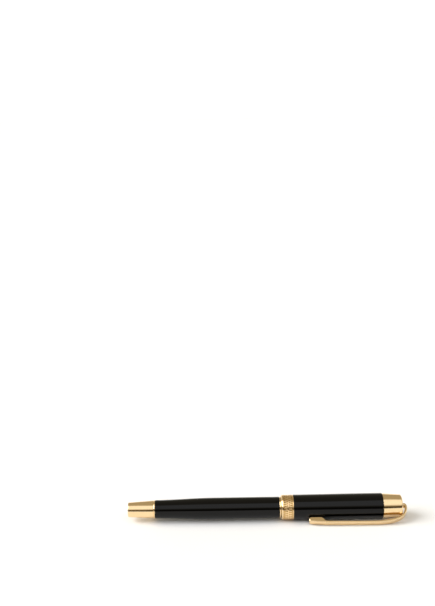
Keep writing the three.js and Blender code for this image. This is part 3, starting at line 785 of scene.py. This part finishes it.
def garland(turn, share, leaves):
    """How deep the band is engraved, from 0 on a leaf's top to 1 in the ground, at a share of a turn
    round the band and a share of the way across it: two rows of leaves that lean away from a stem."""
    across = abs(share - 0.5) * 2
    lean = turn * leaves + 0.55 * across + (0.5 if share > 0.5 else 0)
    beside = lean % 1 - 0.5
    width = 0.44 * max(0, math.sin(HALF_TURN * min(1, 0.08 + 0.94 * across))) ** 0.7
    leaf = max(0, 1 - (beside / width) ** 2) ** 0.6 if width > 0.02 else 0
    rib = 0.5 * math.exp(-(beside / 0.07) ** 2)
    stem = math.exp(-(across / 0.1) ** 2)
    stipple = 0.12 * math.sin(turn * leaves * 8 * HALF_TURN) * math.sin(share * 20 * HALF_TURN)
    fade = min(1, share / 0.04, (1 - share) / 0.04)
    return max(0, min(1, 1 - max(leaf - rib, stem) + stipple)) * fade


class PEN_OT_centre_band(bpy.types.Operator):
    """Engraved gold band at the mouth of the cap: a rounded lip, a plain ring at each side behind a
    groove, and between them a garland of leaves in relief."""
    bl_idname = "pen.centre_band"
    bl_label = "Centre band"

    def execute(self, context):
        sizes = context.scene.pen_sizes
        mouth, end, radius = start_of("centre_band"), end_of("centre_band"), radius_of("centre_band")
        lip, bore, lip_bore = 5.2, 5.77, 4.95
        ring_end, groove, surface = mouth + 0.95, radius - 0.06, radius - 0.045
        first, last = ring_end + 0.2, end - 0.5
        rows = 60
        zone = [(first + (last - first) * i / rows, radius - 0.03) for i in range(rows + 1)]
        piece = lathe("centre_band", [
            (mouth, lip_bore), *arc(mouth + 0.72, lip, radius - lip, 180, 90, 10, 0.72 / (radius - lip)),
            (ring_end - 0.05, radius), (ring_end, groove), (ring_end + 0.16, groove),
            *zone, (last + 0.07, groove), (last + 0.22, groove), (last + 0.28, radius),
            (end - 0.06, radius), (end, radius - 0.06), (end, bore), (mouth + 1.2, bore),
            (mouth + 1.2, lip_bore),
        ], facets=sizes.leaves * 16, edge=0)
        depths = []
        for v in piece.data.vertices:
            out = math.hypot(v.co.y - AXIS_Y, v.co.z - AXIS_Z) / MM
            share = (v.co.x / MM - first) / (last - first)
            turn = math.atan2(v.co.y - AXIS_Y, v.co.z - AXIS_Z) / (2 * HALF_TURN)
            engraved = out > surface and 0 <= share <= 1
            in_groove = bore + 0.02 < out < surface and v.co.x / MM > ring_end - 0.01
            depths.append(garland(turn, share, sizes.leaves) if engraved else 0.8 if in_groove else 0)
        group = piece.vertex_groups.new(name="engraving")
        for index, (v, depth) in enumerate(zip(piece.data.vertices, depths)):
            if math.hypot(v.co.y - AXIS_Y, v.co.z - AXIS_Z) / MM > surface:
                group.add([index], depth, "REPLACE")
        cut = piece.data.attributes.new(CUT, "FLOAT", "POINT")
        cut.data.foreach_set("value", depths)
        apply_modifier(piece, "DISPLACE", vertex_group="engraving", strength=-sizes.relief, mid_level=0)
        only(piece)
        bpy.ops.object.shade_smooth_by_angle(angle=math.radians(50))
        finish_piece(piece, "cap", "gold_plating", engraved_gold())
        return {"FINISHED"}


class PEN_OT_cap_tube(bpy.types.Operator):
    """Cap tube, lacquered black, with a turned-down neck inside the band."""
    bl_idname = "pen.cap_tube"
    bl_label = "Cap tube"

    def execute(self, context):
        mouth, end, radius = start_of("cap_tube"), end_of("cap_tube"), radius_of("cap_tube")
        bore = radius_of("inner_cap") + SEAT
        shoulder, neck = end_of("centre_band") + FACE_GAP, bore + 0.3
        piece = lathe("cap_tube", [
            (mouth, bore), (mouth, neck), (shoulder, neck),
            *blend(shoulder, end - 8, radius_of("centre_band"), radius, 10), (end, radius), (end, bore),
        ], edge=0.12)
        finish_piece(piece, "cap", "black_lacquer")
        return {"FINISHED"}


class PEN_OT_inner_cap(bpy.types.Operator):
    """Inner cap that seals the point, with a groove that snaps over the clutch ring."""
    bl_idname = "pen.inner_cap"
    bl_label = "Inner cap"

    def execute(self, context):
        mouth, end, radius = start_of("inner_cap"), end_of("inner_cap"), radius_of("inner_cap")
        bore = radius_of("grip_section") + 0.2
        ring_start, ring_end = start_of("clutch_ring"), end_of("clutch_ring")
        piece = lathe("inner_cap", [
            (end, 0), (end, radius), (mouth, radius), (mouth, bore + 0.15), (mouth + 0.4, bore),
            (ring_start - 0.4, bore), (ring_start, bore + 0.2), (ring_end, bore + 0.2),
            (ring_end + 0.4, bore),
            (end - 0.8, bore), (end - 0.8, 0),
        ], facets=96, edge=0.04)
        finish_piece(piece, "cap", "liner_plastic")
        return {"FINISHED"}


class PEN_OT_crown_fixing(bpy.types.Operator):
    """Brass bush in the far end of the cap tube, and the slotted stud that holds the crown to it."""
    bl_idname = "pen.crown_fixing"
    bl_label = "Cap bush and crown stud"

    def execute(self, context):
        start, end, radius = start_of("cap_bush"), end_of("cap_bush"), radius_of("cap_bush")
        stud = 1.9
        bush = lathe("cap_bush", [
            (start, stud + SEAT), (start, radius), (end, radius), (end, stud + SEAT),
        ], facets=96)
        finish_piece(bush, "cap", "brass")
        head_start, stud_end, head = start_of("crown_stud"), end_of("crown_stud"), radius_of("crown_stud")
        body = lathe("crown_stud", [
            (head_start, 0), (head_start, head), (head_start + 1.1, head), (head_start + 1.1, stud),
            (stud_end - 0.4, stud), (stud_end, stud - 0.4), (stud_end, 0),
        ], facets=64)
        combine(body, block(head_start, (1.0, 2 * head + 1, 0.8)), "DIFFERENCE")
        finish_piece(body, "cap", "spring_steel")
        return {"FINISHED"}


class PEN_OT_crown(bpy.types.Operator):
    """Tapered gold crown with a slot in its end face, where the clip goes in."""
    bl_idname = "pen.crown"
    bl_label = "Crown"

    def execute(self, context):
        sizes = context.scene.pen_sizes
        start, end, base = start_of("crown"), end_of("crown"), radius_of("crown")
        chamfer, bore = 0.85, 1.95
        top = base - 0.6
        bore_end = end_of("crown_stud") + FACE_GAP
        body = lathe("crown", [
            (bore_end, 0), (bore_end, bore), (start, bore), (start, base - 0.1), (start + 0.1, base),
            *arc(end - chamfer, top - chamfer, chamfer, 88, 0, 10),
            (end, 2.9), (end - 0.12, 2.8), (end - 0.12, 0),
        ], edge=0.03)
        width, thickness = sizes.clip_width / MM + 0.6, sizes.clip_thickness / MM + 0.6
        slot = block(end, (5.2, thickness, width), clip_lean())
        finish_piece(combine(body, slot, "DIFFERENCE"), "cap", "gold_plating")
        return {"FINISHED"}


def clip_outline(reach, thickness):
    """The clip seen from the side, as points along the pen and outwards from its axis: the tang in the
    crown, a tight bend, the high arch, the long arm, the rounded toe and the pad that holds on."""
    tang = end_of("crown") - 2.3
    foot, top = start_of("clip"), end_of("clip")
    half, bend = thickness / 2, 0.55
    bend_middle = half + bend
    arm_start, arm_end = end_of("crown") - 14.5, foot + 8.2
    arm_end_reach = reach - 0.32
    toe_reach, round_toe = reach - 0.95, 1.2
    pad = (radius_of("centre_band") + radius_of("crown") + 0.2) / 2 + 0.35
    pad_end = arm_end - 2.5
    third = (arm_start - arm_end) / 3
    arch = bezier([(top, bend_middle), (top, bend_middle + 0.75 * (reach - bend_middle)),
                   ((top + arm_start) / 2 + 2.4, reach), (arm_start, reach)], 30)
    arm = bezier([(arm_start, reach), (arm_start - third, reach),
                  (arm_end + third, arm_end_reach + 0.15), (arm_end, arm_end_reach)], 18)
    outer = arch + arm[1:]
    inner = [offset(before, point, after, thickness)
             for before, point, after in zip([outer[0] - Vector((0, 1))] + outer, outer, outer[1:])][::-1]
    return [
        (tang, -half), *arc(top - thickness - bend, bend_middle, thickness + bend, -90, 0, 10)[:-1],
        *outer,
        *bezier([(foot + round_toe, toe_reach), (foot, toe_reach), (foot, toe_reach - round_toe)], 8),
        *bezier([(foot, pad + round_toe), (foot, pad), (foot + round_toe, pad)], 8),
        *bezier([(pad_end, pad), (pad_end + 1.25, pad), (arm_end, arm_end_reach - thickness)], 10),
        *inner, *arc(top - thickness - bend, bend_middle, bend, 0, -90, 6)[1:], (tang, half),
    ]


def offset(before, point, after, distance):
    """A point moved square to a curve that runs past it, to the left of the way it goes."""
    along = (after - before).normalized()
    return point + Vector((-along.y, along.x)) * distance


class PEN_OT_clip(bpy.types.Operator):
    """Strap clip: an edge extruded round the clip's side outline makes the strap, its sides are closed,
    its long edges rounded, and the whole is turned to the side of the cap where it points down."""
    bl_idname = "pen.clip"
    bl_label = "Clip"

    def execute(self, context):
        sizes = context.scene.pen_sizes
        outline = clip_outline(clip_reach(), sizes.clip_thickness / MM)
        points = [Vector((station, -reach, 0)) * MM for station, reach in outline]
        middle = (points[0] + points[1]) / 2
        clear_selection()
        bpy.ops.mesh.primitive_plane_add(size=1, location=middle, rotation=(HALF_TURN / 2, 0, 0))
        piece = context.object
        piece.name = piece.data.name = "clip" + FINISHED
        piece.scale = (points[1].x - points[0].x, sizes.clip_width, 1)
        bpy.ops.object.transform_apply(location=True, rotation=True, scale=True)
        bpy.ops.object.mode_set(mode="EDIT")
        bpy.ops.mesh.select_all(action="DESELECT")
        bpy.ops.mesh.select_mode(type="EDGE")
        bpy.ops.object.mode_set(mode="OBJECT")
        for edge in piece.data.edges:
            edge.select = all(piece.data.vertices[v].co.x > middle.x for v in edge.vertices)
        bpy.ops.object.mode_set(mode="EDIT")
        for here, there in zip(points[1:], points[2:] + points[:1]):
            bpy.ops.mesh.extrude_edges_move(TRANSFORM_OT_translate={"value": there - here})
        close_up(piece)
        piece.location = (0, AXIS_Y, AXIS_Z)
        piece.rotation_euler = (clip_lean(), 0, 0)
        settle(piece, angle=50)
        soften(piece, sizes.clip_edge, angle=60, segments=5)
        finish_piece(piece, "clip", "gold_plating", polished_gold())
        return {"FINISHED"}


# ---------------------------------------------------------------- stage

# Each stop of the sky is the sine of a height above the horizon and the light's tone there.

WHITE_SWEEP = (1.3, 1.3, 1.3)
SOFT_LIGHT = (1.15, 1.15, 1.15)
DARK_GAP = (0.06, 0.05, 0.03)
ROOM = (0.44, 0.39, 0.29)
SKY_BACK = ((-0.1, WHITE_SWEEP), (0.18, WHITE_SWEEP), (0.3, ROOM), (1.0, ROOM))
SKY_FRONT = ((0.0, DARK_GAP), (0.27, DARK_GAP), (0.39, ROOM), (0.57, SOFT_LIGHT), (0.94, SOFT_LIGHT),
             (0.97, ROOM))
FLOOR_SIZE = 6.0         # metres
FLOOR_DROP = 0.01        # how far the floor lies under the pen


def add_sky(world):
    """Light from all round, by direction: a white sweep behind the pen, a wide soft light in front and
    above, a dark gap under that light, and a warm grey room for the rest."""
    world.use_nodes = True
    world.node_tree.nodes.clear()
    direction = add_node(world, "ShaderNodeTexCoord").outputs["Generated"]
    parts = add_node(world, "ShaderNodeSeparateXYZ", Vector=direction)
    height = add_node(world, "ShaderNodeMapRange", Value=parts.outputs["Z"], From_Min=-1.0, From_Max=1.0)
    tones = []
    for stops in (SKY_FRONT, SKY_BACK):
        ramp = add_node(world, "ShaderNodeValToRGB", Fac=height.outputs[0])
        elements = ramp.color_ramp.elements
        elements.remove(elements[1])
        for number, (rise, tone) in enumerate(stops):
            element = elements[0] if number == 0 else elements.new((rise + 1) / 2)
            element.position = (rise + 1) / 2
            element.color = (*(share / 2 for share in tone), 1)
        tones.append(ramp.outputs[0])
    behind = add_node(world, "ShaderNodeMapRange", Value=parts.outputs["Y"], From_Min=-0.1, From_Max=0.1)
    tone = mix(world, behind.outputs[0], *tones)
    light = add_node(world, "ShaderNodeBackground", Color=tone, Strength=2.0)
    add_node(world, "ShaderNodeOutputWorld", Surface=light.outputs[0])


class PEN_OT_stage(bpy.types.Operator):
    """White floor, soft studio light and the camera."""
    bl_idname = "pen.stage"
    bl_label = "Stage"

    def execute(self, context):
        scene = context.scene
        settings = scene.pen_stage
        clear_selection()
        bpy.ops.mesh.primitive_plane_add(size=FLOOR_SIZE, location=(0, 0, -FLOOR_DROP * MM))
        floor = context.object
        floor.name = floor.data.name = "floor"
        paper = new_material("white_paper")
        fibres = grain(paper, 0.6)
        tone = mix(paper, fibres, linear(0xF4F4F4), linear(0xFAFAFA))
        finish_material(paper, Base_Color=tone, Roughness=spread(paper, fibres, 0.8, 0.95),
                        Normal=bump(paper, fibres, 0.01, 0.3))
        floor.data.materials.append(paper)
        scene.world = bpy.data.worlds.new("studio")
        add_sky(scene.world)
        flat = math.cos(settings.key_rise)
        towards_key = Vector((-flat * math.cos(settings.key_front), -flat * math.sin(settings.key_front),
                              math.sin(settings.key_rise)))
        turn = (-towards_key).to_track_quat("-Z", "Y").to_euler()
        bpy.ops.object.light_add(type="SUN", location=towards_key, rotation=turn)
        key = context.object
        key.name = key.data.name = "key_light"
        key.data.energy = settings.key
        key.data.angle = settings.key_spread
        scene.view_settings.view_transform = "Standard"
        pitch, roll = settings.camera_pitch, settings.camera_roll
        turn = Matrix.Rotation(HALF_TURN / 2 - pitch, 3, "X") @ Matrix.Rotation(roll, 3, "Z")
        place = (settings.camera_side, AXIS_Y - settings.camera_reach, AXIS_Z + settings.camera_rise)
        bpy.ops.object.camera_add(location=place, rotation=turn.to_euler())
        camera = context.object
        camera.name = camera.data.name = "camera"
        camera.data.lens = settings.lens
        camera.data.clip_start = 0.01
        scene.camera = camera
        return {"FINISHED"}


# ---------------------------------------------------------------- panel and main

PIECES = (PEN_OT_tail_ferrule, PEN_OT_barrel_tube, PEN_OT_barrel_bush, PEN_OT_refill_spring, PEN_OT_trim_ring,
          PEN_OT_grip_section, PEN_OT_section_nipple, PEN_OT_clutch_ring, PEN_OT_nose_cone,
          PEN_OT_refill_body, PEN_OT_writing_point, PEN_OT_centre_band, PEN_OT_cap_tube,
          PEN_OT_inner_cap, PEN_OT_crown_fixing, PEN_OT_crown, PEN_OT_clip, PEN_OT_stage)


class PEN_PT_parts(bpy.types.Panel):
    """Lists the pen's sizes, its colours and the buttons that build its pieces."""
    bl_idname = "PEN_PT_parts"
    bl_label = "Rollerball Pen"
    bl_space_type = "VIEW_3D"
    bl_region_type = "UI"
    bl_category = "Pen"

    def draw(self, context):
        for group in (context.scene.pen_sizes, context.scene.pen_colours, context.scene.pen_stage):
            box = self.layout.box()
            for name in group.bl_rna.properties.keys():
                if name not in ("rna_type", "name"):
                    box.prop(group, name)
        for operator in PIECES:
            self.layout.operator(operator.bl_idname)


CLASSES = (PenSizes, PenColours, StageSettings, *PIECES, PEN_PT_parts)


def register():
    for cls in CLASSES:
        bpy.utils.register_class(cls)
    bpy.types.Scene.pen_sizes = PointerProperty(type=PenSizes)
    bpy.types.Scene.pen_colours = PointerProperty(type=PenColours)
    bpy.types.Scene.pen_stage = PointerProperty(type=StageSettings)


def unregister():
    del bpy.types.Scene.pen_stage
    del bpy.types.Scene.pen_colours
    del bpy.types.Scene.pen_sizes
    for cls in reversed(CLASSES):
        bpy.utils.unregister_class(cls)


def main():
    register()
    for operator in PIECES:
        group, name = operator.bl_idname.split(".")
        getattr(getattr(bpy.ops, group), name)()


if __name__ == "__main__":
    main()
